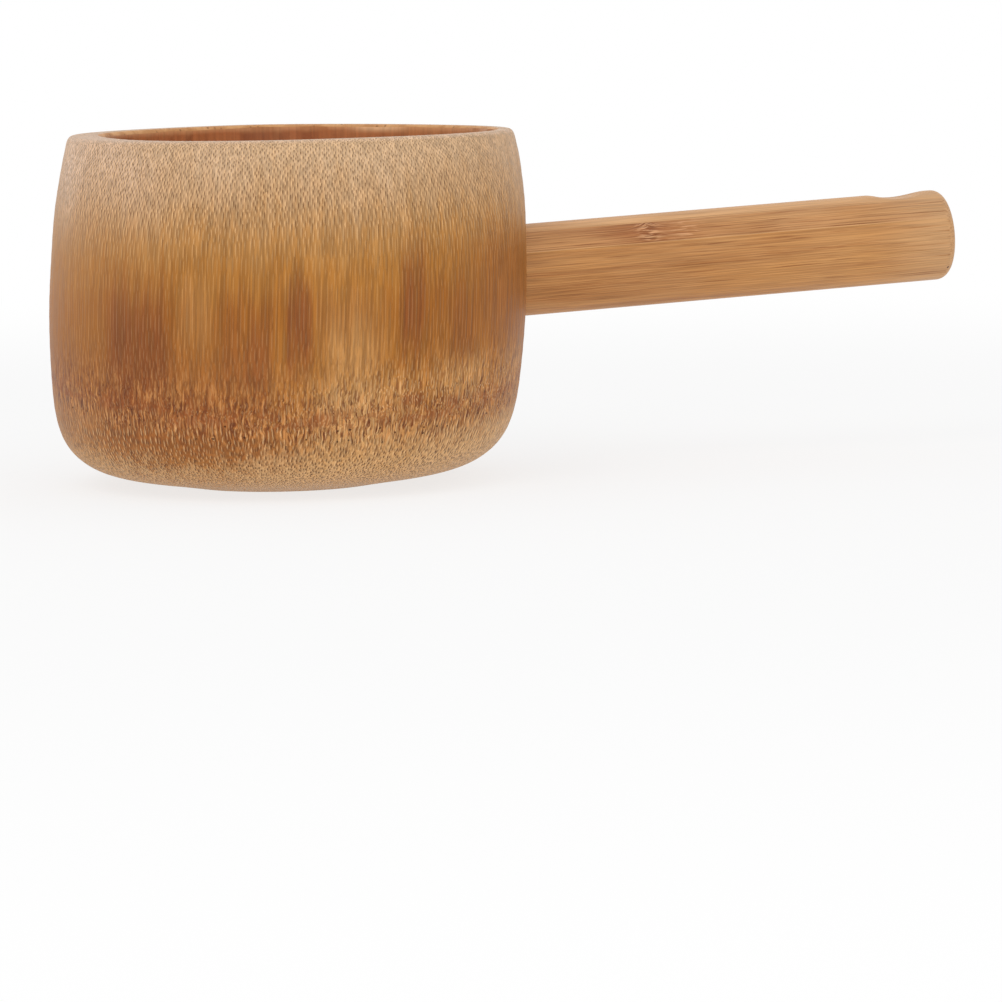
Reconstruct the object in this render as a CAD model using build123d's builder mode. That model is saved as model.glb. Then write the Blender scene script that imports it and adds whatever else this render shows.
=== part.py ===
from build123d import *
import math
import os

os.makedirs("parts", exist_ok=True)

# A bamboo water dipper: a cup turned from one section of a thick culm, with the
# culm's own node wall as its floor, and a straight round handle turned from four
# glued strips. The handle's tenon passes through the cup wall and is wedged inside.
# Lengths are in millimetres. The origin is the centre of the foot on the table,
# +Z is up and the handle points toward +X.

# Cup, outside
cup_height = 75.25
belly_radius = 51.4
belly_height = 41.4
rim_inset = 3.2  # how much less the radius is at the rim than at the belly
foot_radius = 22.0
culm_lean = 3.4  # the rim's centre stands this far nearer the handle than the foot's
outer_lip_round = 1.2
section_points = 16  # each section of the outside is a smooth closed curve through them

# Cup, hollow
lip_width = 5.9  # at the rim, before its edges are rounded
hollow_taper = 1.2  # how much less the hollow's radius is at the floor than at the rim
hollow_offset = 1.5  # the natural hollow is off the turned outside by this much
floor_height = 14.0
floor_corner_round = 7.0
inner_lip_round = 1.0

# Foot
foot_ring_width = 7.2
foot_dish_depth = 3.5
foot_dish_edge_round = 0.6

# Handle
handle_radius = 10.0
handle_reach = 151.4  # from the foot's centre line to the handle's free end
handle_axis_height = 41.2  # where the handle's axis meets the foot's centre line
handle_tilt = 2.86  # degrees up toward the free end
end_round = 2.5
core_strip_thickness = 5.5
lamination_turn = 31.0  # degrees that the strips lean from upright toward the front

# Thumb notch near the free end
notch_from_end = 10.8
notch_radius = 17.0
notch_depth = 1.0

# Handle joint
seat_depth = 2.5
seat_relief = 0.25  # the seated end of the rod is turned this much thinner
seat_relief_reach = 1.3  # how far outside the wall it still is
tenon_radius = 6.5
tenon_proud = 1.0
tenon_chamfer = 0.5
glue_gap = 0.06
kerf_depth = 5.4
wedge_mouth = 1.8
wedge_tip = 0.7
wedge_width = 11.6
wedge_tip_room = 0.4

overrun = 2.0

# Sections of the outside as shares: of the belly's height and of the growth from foot to belly
below_belly_shares = (
    (0.0, 0.0),
    (0.036, 0.3),
    (0.109, 0.68),
    (0.217, 0.85),
    (0.364, 0.935),
    (0.546, 0.972),
    (1.0, 1.0),
)
# Above the belly: of the height left, and of the shrinking from belly to rim
above_belly_shares = (
    (0.29, 0.1),
    (0.555, 0.28),
    (0.78, 0.62),
    (1.0, 1.0),
)

rim_radius = belly_radius - rim_inset
hollow_radius = rim_radius - lip_width
hollow_floor_radius = hollow_radius - hollow_taper


def lean_at(height):
    return culm_lean * height / cup_height


def level_plane(centre, height):
    # x runs away from the handle, which keeps the seams of round surfaces off its seat
    return Plane(origin=(centre, 0, height), x_dir=(-1, 0, 0))


def ring_points(radius):
    turns = [2 * math.pi * point / section_points for point in range(section_points)]
    return [(radius * math.cos(angle), radius * math.sin(angle)) for angle in turns]


def outside_sections():
    sections = []
    for height_share, growth_share in below_belly_shares:
        radius = foot_radius + growth_share * (belly_radius - foot_radius)
        sections.append((height_share * belly_height, radius))
    for height_share, shrink_share in above_belly_shares:
        height = belly_height + height_share * (cup_height - belly_height)
        radius = belly_radius - shrink_share * (belly_radius - rim_radius)
        sections.append((height, radius))
    return sections


# The dish under the foot is the cap of a sphere
foot_dish_radius = foot_radius - foot_ring_width
foot_dish_sphere = (foot_dish_radius**2 + foot_dish_depth**2) / (2 * foot_dish_depth)

# Handle planes. Across the handle, x runs to the back and y runs up; beside it, x runs
# outward along the handle and y runs up
tilt = math.radians(handle_tilt)
handle_direction = (math.cos(tilt), 0, math.sin(tilt))
handle_origin = (0, 0, handle_axis_height)
across_handle = Plane(origin=handle_origin, x_dir=(0, 1, 0), z_dir=handle_direction)
beside_handle = Plane(origin=handle_origin, x_dir=handle_direction, z_dir=(0, -1, 0))
handle_axis = Axis(handle_origin, handle_direction)

# Strips are stacked from the back toward the front and slightly down
turn = math.radians(lamination_turn)
across_strips = Plane(
    origin=handle_origin,
    x_dir=(0, -math.cos(turn), -math.sin(turn)),
    z_dir=handle_direction,
)

# Stations along the handle's axis, worked out from the cup
wall_outer = belly_radius + lean_at(handle_axis_height)
wall_inner = hollow_radius + hollow_offset + lean_at(handle_axis_height)
shoulder = wall_outer - seat_depth
relief_end = wall_outer + seat_relief_reach
seat_radius = handle_radius - seat_relief
tenon_end = wall_inner - tenon_proud
notch_middle = handle_reach - notch_from_end
kerf_end = tenon_end + kerf_depth

# The cup's hollow, from the node wall up to the rim. It leans with the culm
hollow_sections = ((floor_height, hollow_floor_radius), (cup_height, hollow_radius))
with BuildPart() as hollow:
    for height, radius in hollow_sections:
        with BuildSketch(level_plane(hollow_offset + lean_at(height), height)):
            Circle(radius)
    loft(ruled=True)
    fillet(hollow.faces().sort_by(Axis.Z)[0].edges(), floor_corner_round)

# Cup
with BuildPart() as cup:
    for height, radius in outside_sections():
        with BuildSketch(level_plane(lean_at(height), height)):
            with BuildLine():
                Spline(*ring_points(radius), periodic=True)
            make_face()
    loft()
    # The foot stays a sharp flat, the rim's outer edge is rounded
    fillet(cup.faces().sort_by(Axis.Z)[-1].edges(), outer_lip_round)
    add(hollow.part, mode=Mode.SUBTRACT)
    rim_face = cup.faces().filter_by(GeomType.PLANE).sort_by(Axis.Z)[-1]
    fillet(rim_face.inner_wires()[0].edges(), inner_lip_round)
    # Shallow dish under the foot, left of the next hollow of the culm
    with Locations((0, 0, foot_dish_depth - foot_dish_sphere)):
        Sphere(foot_dish_sphere, mode=Mode.SUBTRACT)
    foot_face = cup.faces().filter_by(GeomType.PLANE).sort_by(Axis.Z)[0]
    fillet(foot_face.inner_wires()[0].edges(), foot_dish_edge_round)
    # Seat for the handle's shoulder
    with BuildSketch(across_handle.offset(shoulder)):
        Circle(seat_radius + glue_gap)
    extrude(amount=seat_depth + handle_radius, mode=Mode.SUBTRACT)
    # Bore for the tenon
    with BuildSketch(across_handle.offset(shoulder + overrun)):
        Circle(tenon_radius + glue_gap)
    extrude(amount=-(shoulder - tenon_end + 2 * overrun), mode=Mode.SUBTRACT)

cup.part.label = "cup"
export_step(cup.part, "parts/cup.step")

# Handle strips, from the front to the back
strips = (
    ("handle_front_strip", core_strip_thickness, handle_radius + overrun),
    ("handle_front_core", 0, core_strip_thickness),
    ("handle_back_core", -core_strip_thickness, 0),
    ("handle_back_strip", -handle_radius - overrun, -core_strip_thickness),
)

for strip_name, near_side, far_side in strips:
    with BuildPart() as strip:
        # The whole turned rod with its tenon
        with BuildSketch(beside_handle):
            with BuildLine():
                Polyline(
                    (tenon_end, 0),
                    (tenon_end, tenon_radius),
                    (shoulder, tenon_radius),
                    (shoulder, seat_radius),
                    (relief_end, seat_radius),
                    (relief_end, handle_radius),
                    (handle_reach, handle_radius),
                    (handle_reach, 0),
                    close=True,
                )
            make_face()
        revolve(axis=handle_axis)
        rims = strip.edges().filter_by(GeomType.CIRCLE).sort_by(handle_axis)
        fillet(rims[-1], end_round)
        chamfer(rims[0], tenon_chamfer)
        # Thumb notch, scooped across the top
        with BuildSketch(beside_handle):
            with Locations((notch_middle, handle_radius - notch_depth + notch_radius)):
                Circle(notch_radius)
        extrude(amount=handle_radius + overrun, both=True, mode=Mode.SUBTRACT)
        # Kerf for the wedge, open at the tenon's end
        with BuildSketch(beside_handle):
            with BuildLine():
                Polyline(
                    (tenon_end, wedge_mouth / 2 + glue_gap),
                    (kerf_end, wedge_tip / 2 + glue_gap),
                    (kerf_end, -wedge_tip / 2 - glue_gap),
                    (tenon_end, -wedge_mouth / 2 - glue_gap),
                    close=True,
                )
            make_face()
        extrude(amount=tenon_radius + overrun, both=True, mode=Mode.SUBTRACT)
        # Keep only this strip's layer
        with BuildSketch(across_strips.offset(tenon_end - overrun)):
            with Locations(((near_side + far_side) / 2, 0)):
                Rectangle(far_side - near_side, 2 * (handle_radius + overrun))
        extrude(amount=handle_reach - tenon_end + 2 * overrun, mode=Mode.INTERSECT)

    strip.part.label = strip_name
    export_step(strip.part, f"parts/{strip_name}.step")

# Wedge, driven into the kerf from inside the cup
with BuildPart() as tenon_wedge:
    with BuildSketch(beside_handle):
        with BuildLine():
            Polyline(
                (tenon_end, wedge_mouth / 2),
                (kerf_end - wedge_tip_room, wedge_tip / 2),
                (kerf_end - wedge_tip_room, -wedge_tip / 2),
                (tenon_end, -wedge_mouth / 2),
                close=True,
            )
        make_face()
    extrude(amount=wedge_width / 2, both=True)

tenon_wedge.part.label = "tenon_wedge"
export_step(tenon_wedge.part, "parts/tenon_wedge.step")
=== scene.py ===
import math
from functools import partial, reduce

import bpy
import numpy as np
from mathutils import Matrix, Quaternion, Vector


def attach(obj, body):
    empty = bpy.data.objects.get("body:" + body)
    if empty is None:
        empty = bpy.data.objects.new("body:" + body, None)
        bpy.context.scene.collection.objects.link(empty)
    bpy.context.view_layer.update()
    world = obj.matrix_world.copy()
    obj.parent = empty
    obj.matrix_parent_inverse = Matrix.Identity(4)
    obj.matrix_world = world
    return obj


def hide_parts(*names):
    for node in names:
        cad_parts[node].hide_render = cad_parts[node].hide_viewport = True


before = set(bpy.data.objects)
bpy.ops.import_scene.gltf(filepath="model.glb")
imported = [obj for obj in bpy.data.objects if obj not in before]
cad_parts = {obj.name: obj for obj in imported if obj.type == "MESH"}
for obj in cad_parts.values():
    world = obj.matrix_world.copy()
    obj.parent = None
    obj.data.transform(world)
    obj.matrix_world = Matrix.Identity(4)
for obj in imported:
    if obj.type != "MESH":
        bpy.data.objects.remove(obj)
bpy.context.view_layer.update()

# Bamboo water dipper: a turned cup with a glued strip handle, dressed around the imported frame.
# Lengths in the dictionaries are millimetres, angles are degrees, colours are screen values from 0 to 255.

mm = 0.001
print("frame loaded:", sorted(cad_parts))


# Camera

view = {
    "distance": 964.0,
    "elevation": 3.89,
    "azimuth": -11.0,
    "roll": -1.25,
    "target": (0.0, 0.0, 40.0),
    "targetAcross": 285.0,  # where the target shows, in pixels from the left and from the top
    "targetDown": 291.3,
    "imageSize": 1002,
    "lens": 160.0,
    "sensor": 36.0,
}


def makeCamera():
    azimuth, elevation = math.radians(view["azimuth"]), math.radians(view["elevation"])
    back = Vector((
        math.sin(azimuth) * math.cos(elevation),
        -math.cos(azimuth) * math.cos(elevation),
        math.sin(elevation),
    ))
    focal = view["lens"] / view["sensor"] * view["imageSize"]
    turn = math.atan((view["targetAcross"] - view["imageSize"] / 2) / focal)
    nod = math.atan((view["targetDown"] - view["imageSize"] / 2) / focal * math.cos(turn))
    data = bpy.data.cameras.new("camera")
    data.lens = view["lens"]
    data.sensor_width = view["sensor"]
    data.sensor_fit = "HORIZONTAL"
    data.clip_end = 100
    camera = bpy.data.objects.new("camera", data)
    bpy.context.scene.collection.objects.link(camera)
    camera.location = (Vector(view["target"]) + view["distance"] * back) * mm
    camera.rotation_mode = "QUATERNION"
    camera.rotation_quaternion = (
        (-back).to_track_quat("-Z", "Y")
        @ Quaternion((0, 1, 0), turn)
        @ Quaternion((1, 0, 0), nod)
        @ Quaternion((0, 0, 1), math.radians(view["roll"]))
    )
    bpy.context.scene.camera = camera


makeCamera()
bpy.context.scene.view_settings.view_transform = "Standard"
print("camera placed")


# Shader helpers

def toLinear(red, green, blue):
    shares = [value / 255 for value in (red, green, blue)]
    return tuple(s / 12.92 if s <= 0.04045 else ((s + 0.055) / 1.055) ** 2.4 for s in shares) + (1.0,)


def addNode(tree, kind, inputs=None, **settings):
    node = tree.nodes.new(kind)
    for name, value in settings.items():
        setattr(node, name, value)
    for name, value in (inputs or {}).items():
        if isinstance(value, bpy.types.NodeSocket):
            tree.links.new(value, node.inputs[name])
        else:
            node.inputs[name].default_value = value
    return node


def calc(tree, operation, *values):
    node = addNode(tree, "ShaderNodeMath", dict(enumerate(values)), operation=operation)
    return node.outputs[0]


def calcAll(tree, operation, *values):
    # any number of values, taken two at a time from the left
    return reduce(partial(calc, tree, operation), values)


def sums(tree):
    # add, times and less
    return [partial(calcAll, tree, operation) for operation in ("ADD", "MULTIPLY", "SUBTRACT")]


def vectorCalc(tree, operation, *values, output=0):
    node = addNode(tree, "ShaderNodeVectorMath", dict(enumerate(values)), operation=operation)
    return node.outputs[output]


def pack(tree, x=0.0, y=0.0, z=0.0):
    return addNode(tree, "ShaderNodeCombineXYZ", {"X": x, "Y": y, "Z": z}).outputs[0]


def unpack(tree, vector):
    return addNode(tree, "ShaderNodeSeparateXYZ", {"Vector": vector}).outputs


def firstChannel(tree, colour):
    return addNode(tree, "ShaderNodeSeparateColor", {"Color": colour}).outputs[0]


def ease(tree, value, low, high, start=0.0, end=1.0):
    node = addNode(
        tree, "ShaderNodeMapRange",
        {"Value": value, "From Min": low, "From Max": high, "To Min": start, "To Max": end},
        interpolation_type="SMOOTHSTEP",
    )
    return node.outputs["Result"]


def bell(tree, value, reach=1.0):
    squared = calc(tree, "POWER", calc(tree, "DIVIDE", value, reach), 2.0)
    return calc(tree, "EXPONENT", calc(tree, "MULTIPLY", squared, -1.0))


def maskMaker(tree, fields, masks):
    # a mask is the product of its fades: by what field, from, to, and its shares there if they aren't 0 and 1
    def mask(name):
        return calcAll(tree, "MULTIPLY", *[ease(tree, fields[field], *fade) for field, *fade in masks[name]])
    return mask


def mixColour(tree, amount, first, second, blend="MIX"):
    node = addNode(
        tree, "ShaderNodeMix", {0: amount, 6: first, 7: second},
        data_type="RGBA", blend_type=blend, clamp_factor=True,
    )
    return node.outputs[2]


def tint(tree, colour, amount, tone):
    return mixColour(tree, amount, colour, toLinear(*tone))


def shadeBy(tree, colour, shade):
    return mixColour(tree, 1.0, colour, pack(tree, shade, shade, shade), "MULTIPLY")


def colourRamp(tree, value, stops):
    node = addNode(tree, "ShaderNodeValToRGB", {"Fac": value})
    ramp = node.color_ramp
    ramp.interpolation = "EASE"
    while len(ramp.elements) < len(stops):
        ramp.elements.new(0.5)
    for element, (place, colour) in zip(ramp.elements, sorted(stops)):
        element.position = place
        element.color = toLinear(*colour)
    return node.outputs["Color"]


def noise(tree, vector, detail=2.0, roughness=0.5, distortion=0.0, output="Fac"):
    node = addNode(
        tree, "ShaderNodeTexNoise",
        {"Vector": vector, "Scale": 1.0, "Detail": detail, "Roughness": roughness, "Distortion": distortion},
        noise_dimensions="3D",
    )
    return node.outputs[output]


def solidNoise(tree, scales, **settings):
    # noise through the whole piece, with its own coordinates scaled per metre
    place = addNode(tree, "ShaderNodeTexCoord").outputs["Object"]
    return noise(tree, vectorCalc(tree, "MULTIPLY", place, scales), **settings)


def bendsFrom(tree, colour):
    # three values around zero from a colour noise
    return unpack(tree, vectorCalc(tree, "SUBTRACT", colour, (0.5, 0.5, 0.5)))


def newGroup(name, inputs, outputs):
    group = bpy.data.node_groups.new(name, "ShaderNodeTree")
    for socketName, value in inputs.items():
        socket = group.interface.new_socket(name=socketName, in_out="INPUT", socket_type="NodeSocketFloat")
        socket.default_value = value
    for socketName in outputs:
        group.interface.new_socket(name=socketName, in_out="OUTPUT", socket_type="NodeSocketFloat")
    return group, group.nodes.new("NodeGroupInput").outputs


def putOut(group, **values):
    leave = group.nodes.new("NodeGroupOutput").inputs
    for name, value in values.items():
        group.links.new(value, leave[name])
    return group


def useGroup(tree, group, **values):
    return addNode(tree, "ShaderNodeGroup", values, node_tree=group).outputs


def newMaterial(name, roughness=0.5, specular=0.5):
    material = bpy.data.materials.new(name)
    material.use_nodes = True
    tree = material.node_tree
    shader = tree.nodes["Principled BSDF"]
    shader.inputs["Roughness"].default_value = roughness
    shader.inputs["Specular IOR Level"].default_value = specular
    return material, tree, shader


def joinShader(tree, shader, colour, relief, depth, roughness=None):
    tree.links.new(colour, shader.inputs["Base Color"])
    if roughness:
        tree.links.new(roughness, shader.inputs["Roughness"])
    bump = addNode(tree, "ShaderNodeBump", {"Height": relief, "Distance": depth * mm, "Strength": 1.0})
    tree.links.new(bump.outputs["Normal"], shader.inputs["Normal"])


# Cup shape. Shares are the same ones as the cup's turned outline: of the height and of the growth
# from foot to belly, then of the height left and of the shrinking from belly to rim

cup = {
    "height": 75.25,
    "bellyRadius": 51.4,
    "bellyHeight": 41.4,
    "rimInset": 3.2,
    "footRadius": 22.0,
    "lean": 3.4,  # the rim's centre stands this far toward the handle
    "belowBelly": [
        (0, 0), (0.036, 0.3), (0.109, 0.68), (0.217, 0.85), (0.364, 0.935), (0.546, 0.972), (1, 1),
    ],
    "aboveBelly": [(0.29, 0.1), (0.555, 0.28), (0.78, 0.62), (1, 1)],
    "rimTuck": (0.42, 0.2),  # how far the top of the rim is drawn in, and how much more or less at both sides
    "tuckFrom": 68.3,
    "tuckPower": 1.5,
    "outerLipRound": 1.05,
    "lipUneven": 0.3,
    "sharpSide": -60.0,  # the lip is sharper on this side, as an angle from the handle
    "lipWidth": 5.9,
    "bevelWidth": 0.8,
    "bevelHeight": (0.3, 0.75),  # least and most, the cut edge is wavy
    "bevelDrop": 0.35,  # more of it toward the back left
    "bevelDropSide": 150.0,
    # the rim isn't quite level: angle from the handle, rise
    "rimRise": [
        (-155, -0.18), (-140, -0.26), (-110, -0.24), (-85, -0.1), (-50, -0.06), (30, 0.0), (60, 0.22),
        (88, 0.5), (125, 0.34), (175, 0.3),
    ],
    "riseFrom": 58.0,  # height below which the outside doesn't rise with the rim
    "hollowTaper": 1.2,
    "hollowOffset": 1.5,
    "hollowWave": 0.28,  # the natural hollow isn't quite round
    "floorHeight": 14.0,
    "floorCorner": 7.0,
    "floorRipple": 0.14,
    "footRing": 7.2,
    "footDish": 3.5,
    "latheMark": 0.03,
    "girthRadius": 50.0,  # millimetres along the girth are counted at this radius
    "around": 480,
}
mouthRadius = cup["bellyRadius"] - cup["rimInset"] - cup["lipWidth"]

handle = {
    "radius": 10.0,
    "reach": 151.4,
    "axisHeight": 41.2,
    "tilt": 2.86,
    "endRound": 2.5,
    "core": 5.5,  # thickness of the two inner strips
    "turn": 31.0,
    "notchFromEnd": 10.8,
    "notchRadius": 17.0,
    "notchDepth": 1.0,
    "notchSoftness": 0.5,
    "seatDepth": 2.5,
    "tenonRadius": 6.5,
    "tenonProud": 1.0,
    "tenonChamfer": 0.5,
    "glueGap": 0.06,
    "kerfDepth": 5.4,
    "wedgeMouth": 1.8,
    "wedgeTip": 0.7,
    "jointGroove": 0.05,
}


def leanAt(height):
    return cup["lean"] * height / cup["height"]


def wave(angle, counts, seed):
    # a smooth closed wave between about -1 and 1
    random = np.random.default_rng(seed)
    total = np.zeros_like(angle)
    for count in counts:
        total += np.sin(count * angle + random.uniform(0, 2 * math.pi)) * random.uniform(0.5, 1)
    return total / len(counts) ** 0.5


def smoothLine(points, count):
    # natural cubic through the points, spaced by the chords between them
    knots = np.array(points, float)
    steps = np.r_[0, np.cumsum(np.linalg.norm(np.diff(knots, axis=0), axis=1))]
    gaps = np.diff(steps)
    size = len(steps)
    system, right = np.eye(size), np.zeros((size, 2))
    for i in range(1, size - 1):
        system[i, i - 1:i + 2] = gaps[i - 1], 2 * (gaps[i - 1] + gaps[i]), gaps[i]
        right[i] = 6 * ((knots[i + 1] - knots[i]) / gaps[i] - (knots[i] - knots[i - 1]) / gaps[i - 1])
    bends = np.linalg.solve(system, right)
    places = np.linspace(0, steps[-1], count)
    spans = np.clip(np.searchsorted(steps, places, side="right") - 1, 0, size - 2)
    gap = gaps[spans][:, None]
    after = (places - steps[spans])[:, None]
    before = gap - after
    return (
        bends[spans] * before**3 / (6 * gap)
        + bends[spans + 1] * after**3 / (6 * gap)
        + (knots[spans] / gap - bends[spans] * gap / 6) * before
        + (knots[spans + 1] / gap - bends[spans + 1] * gap / 6) * after
    )


def outsideLine(count):
    sections = []
    for heightShare, growthShare in cup["belowBelly"]:
        radius = cup["footRadius"] + growthShare * (cup["bellyRadius"] - cup["footRadius"])
        sections.append((radius, heightShare * cup["bellyHeight"]))
    for heightShare, shrinkShare in cup["aboveBelly"]:
        height = cup["bellyHeight"] + heightShare * (cup["height"] - cup["bellyHeight"])
        sections.append((cup["bellyRadius"] - shrinkShare * cup["rimInset"], height))
    return smoothLine(sections, count)


def quarterBend(start, corner, end, count):
    # a soft quarter bend between two rings, without its two ends
    rings = []
    for share in np.linspace(0, 1, count + 2)[1:-1]:
        rings.append((1 - share) ** 2 * start + 2 * share * (1 - share) * corner + share**2 * end)
    return rings


def meshFromRings(name, rings, materials, zones=None, closeStart=None, closeEnd=None):
    # rings of equal length are joined in order; a close point makes a fan over that end
    count = len(rings[0])
    vertices = np.concatenate(rings)
    faces, slots = [], []
    for row in range(len(rings) - 1):
        for column in range(count):
            after = (column + 1) % count
            low, high = row * count, (row + 1) * count
            faces.append((low + column, low + after, high + after, high + column))
            slots.append(zones[row] if zones else 0)
    extra = []
    for point, base, flip in ((closeStart, 0, True), (closeEnd, (len(rings) - 1) * count, False)):
        if point is None:
            face = tuple(base + column for column in range(count))
            faces.append(face[::-1] if flip else face)
            slots.append(zones[0 if flip else -1] if zones else 0)
            continue
        centre = len(vertices) + len(extra)
        extra.append(point)
        for column in range(count):
            after = (column + 1) % count
            pair = (base + after, base + column) if flip else (base + column, base + after)
            faces.append((*pair, centre))
            slots.append(zones[0 if flip else -1] if zones else 0)
    if extra:
        vertices = np.concatenate([vertices, np.array(extra, float)])
    mesh = bpy.data.meshes.new(name)
    mesh.from_pydata((vertices * mm).tolist(), [], faces)
    for material in materials:
        mesh.materials.append(material)
    mesh.polygons.foreach_set("material_index", slots)
    mesh.shade_smooth()
    mesh.update()
    piece = bpy.data.objects.new(name, mesh)
    bpy.context.scene.collection.objects.link(piece)
    return piece


def cutAway(piece, cutter):
    # takes the cutter out of the piece for good
    modifier = piece.modifiers.new("cut", "BOOLEAN")
    modifier.operation = "DIFFERENCE"
    modifier.solver = "EXACT"
    modifier.object = cutter
    bpy.context.view_layer.update()
    carved = bpy.data.meshes.new_from_object(piece.evaluated_get(bpy.context.evaluated_depsgraph_get()))
    carved.name = piece.name
    piece.modifiers.clear()
    piece.data = carved


def hollowRadius(angle, height):
    share = (cup["height"] - height) / (cup["height"] - cup["floorHeight"])
    natural = wave(angle + 0.004 * height, (2, 3, 5), 4)
    natural += 0.25 * wave(angle, (11, 17), 9) * np.sin(height / 9)
    settle = np.clip(share * 6, 0, 1)  # the mouth is nearer to round
    return mouthRadius - cup["hollowTaper"] * share + cup["hollowWave"] * natural * (0.35 + 0.65 * settle)


def riseAt(angle):
    turns, rises = zip(*cup["rimRise"])
    rough = np.interp(np.degrees(angle), turns, rises, period=360)
    size = len(rough) // 24
    return np.convolve(np.r_[rough[-size:], rough, rough[:size]], np.ones(size) / size, "same")[size:-size]


def makeCupShell(materials):
    turned, skin, edge = range(3)
    angle = np.arange(cup["around"]) * 2 * math.pi / cup["around"]
    around = np.stack([np.cos(angle), np.sin(angle)], axis=1)
    top = cup["height"]
    rings, zones = [], []

    def addRing(radius, height, zone, offset=0.0):
        radius = np.broadcast_to(np.asarray(radius, float), angle.shape)
        height = np.broadcast_to(np.asarray(height, float), angle.shape)
        ring = np.column_stack([around * radius[:, None], height])
        ring[:, 0] += offset + leanAt(height)
        rings.append(ring)
        zones.append(zone)

    def addRings(more, zone):
        rings.extend(more)
        zones.extend([zone] * len(more))

    # dish and flat ring of the foot
    dishRadius = cup["footRadius"] - cup["footRing"]
    for share in np.linspace(0.02, 1, 34):
        depth = cup["footDish"] * (1 - share**2)
        depth += cup["latheMark"] * math.sin(share * 46) * (1 - share)
        addRing(share * dishRadius, 0.04 + (depth**2 + 0.04) ** 0.5 - 0.24 * share, turned)
    for share in (0.08, 0.3, 0.6, 0.9, 0.98):
        addRing(dishRadius + share * cup["footRing"], 0.0, turned)

    # turned outside, up to where the lip's rounding starts
    tuckMiddle, tuckSides = cup["rimTuck"]
    tuck = tuckMiddle + tuckSides * np.cos(angle)
    line = outsideLine(190)
    lipStart = top - cup["outerLipRound"]
    outside = [point for point in line if point[1] < lipStart]
    for radius, height in outside:
        tool = cup["latheMark"] * 0.4 * math.sin(height * 1.9) * min(1, height / 6)
        share = np.clip((height - cup["tuckFrom"]) / (top - cup["tuckFrom"]), 0, 1)
        drawnIn = tuck * share ** cup["tuckPower"]
        addRing(radius + tool - drawnIn + 0.02 * wave(angle, (3, 7, 12), 21), height, turned)
    rimRadius = cup["bellyRadius"] - cup["rimInset"] - tuck
    start = rings[-1]
    sharper = cup["lipUneven"] * np.cos(angle - math.radians(cup["sharpSide"]))
    flatOuter = rimRadius - 1.05 * cup["outerLipRound"] * (1 - sharper)
    unit = np.column_stack([around, np.zeros(len(angle))])
    centreTop = np.array([leanAt(top), 0, 0])
    end = unit * flatOuter[:, None] + centreTop + [0, 0, top]
    corner = unit * (rimRadius - 0.05)[:, None] + centreTop + [0, 0, top - 0.02]
    addRings(quarterBend(start, corner, end, 9), turned)
    addRings([end], turned)

    # flat of the rim and the wavy cut edge inside it
    low, high = cup["bevelHeight"]
    depth = low + (high - low) * np.clip(0.42 + 0.3 * wave(angle, (2, 5, 9, 14, 23), 31), 0, 1)
    depth += cup["bevelDrop"] * np.clip(np.cos(angle - math.radians(cup["bevelDropSide"])), 0, 1) ** 4
    mouth = hollowRadius(angle, top)
    hollowCentre = centreTop + [cup["hollowOffset"], 0, 0]
    flatInner = unit * (mouth + cup["bevelWidth"])[:, None] + hollowCentre + [0, 0, top]
    below = hollowRadius(angle, top - 2)
    bevelEnd = unit * below[:, None] + hollowCentre
    bevelEnd[:, 2] = top - depth
    bevelCorner = unit * (mouth + 0.3 * cup["bevelWidth"])[:, None] + hollowCentre + [0, 0, top - 0.12]
    for share in (0.25, 0.5, 0.75):
        addRings([end + (flatInner - end) * share], turned)
    addRings([flatInner], edge)
    addRings(quarterBend(flatInner, bevelCorner, bevelEnd, 7), edge)
    addRings([bevelEnd], skin)

    # natural hollow, its rounded corner and the node wall that makes the floor
    cornerTop = cup["floorHeight"] + cup["floorCorner"]
    for share in np.linspace(0, 1, 62)[1:]:
        height = top - depth + (cornerTop - top + depth) * share
        addRing(hollowRadius(angle, height), height, skin, cup["hollowOffset"])
    floorRadius = hollowRadius(angle, cup["floorHeight"])
    for turn in np.linspace(0, 90, 12)[1:]:
        radius = floorRadius - cup["floorCorner"] * (1 - math.cos(math.radians(turn)))
        height = cornerTop - cup["floorCorner"] * math.sin(math.radians(turn))
        addRing(radius, height, skin, cup["hollowOffset"])
    floorEdge = floorRadius - cup["floorCorner"]
    for share in np.linspace(1, 0.03, 52)[1:]:
        ripple = math.sin(share * 31 + 1) * (1 - share) ** 0.5
        ripple = ripple + 0.5 * wave(angle, (4, 9, 15), int(share * 12))
        height = cup["floorHeight"] + cup["floorRipple"] * ripple * min(1, 6 * (1 - share))
        addRing(floorEdge * share, height - 0.5 * (1 - share**2), skin, cup["hollowOffset"])

    rise = riseAt(angle)
    for ring in rings:
        share = np.clip((ring[:, 2] - cup["riseFrom"]) / (top - cup["riseFrom"]), 0, 1)
        ring[:, 2] += rise * share**2

    closeStart = np.array([0, 0, cup["footDish"]])
    closeEnd = np.array([cup["hollowOffset"] + leanAt(cup["floorHeight"]), 0, cup["floorHeight"] - 0.5])
    return meshFromRings("cupShell", rings, materials, zones, closeStart, closeEnd)


# Handle shape. It lies in a frame of its own: along the rod, across the strips' stack, and along their width

tilt, stackTurn = math.radians(handle["tilt"]), math.radians(handle["turn"])
rodStart = np.array([0, 0, handle["axisHeight"]])
alongRod = np.array([math.cos(tilt), 0, math.sin(tilt)])
upFromRod = np.array([-math.sin(tilt), 0, math.cos(tilt)])
stackWay = np.array([0, -math.cos(stackTurn), -math.sin(stackTurn)])
stackWay -= alongRod * (stackWay @ alongRod)
stackWay /= np.linalg.norm(stackWay)
widthWay = np.cross(alongRod, stackWay)

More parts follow.
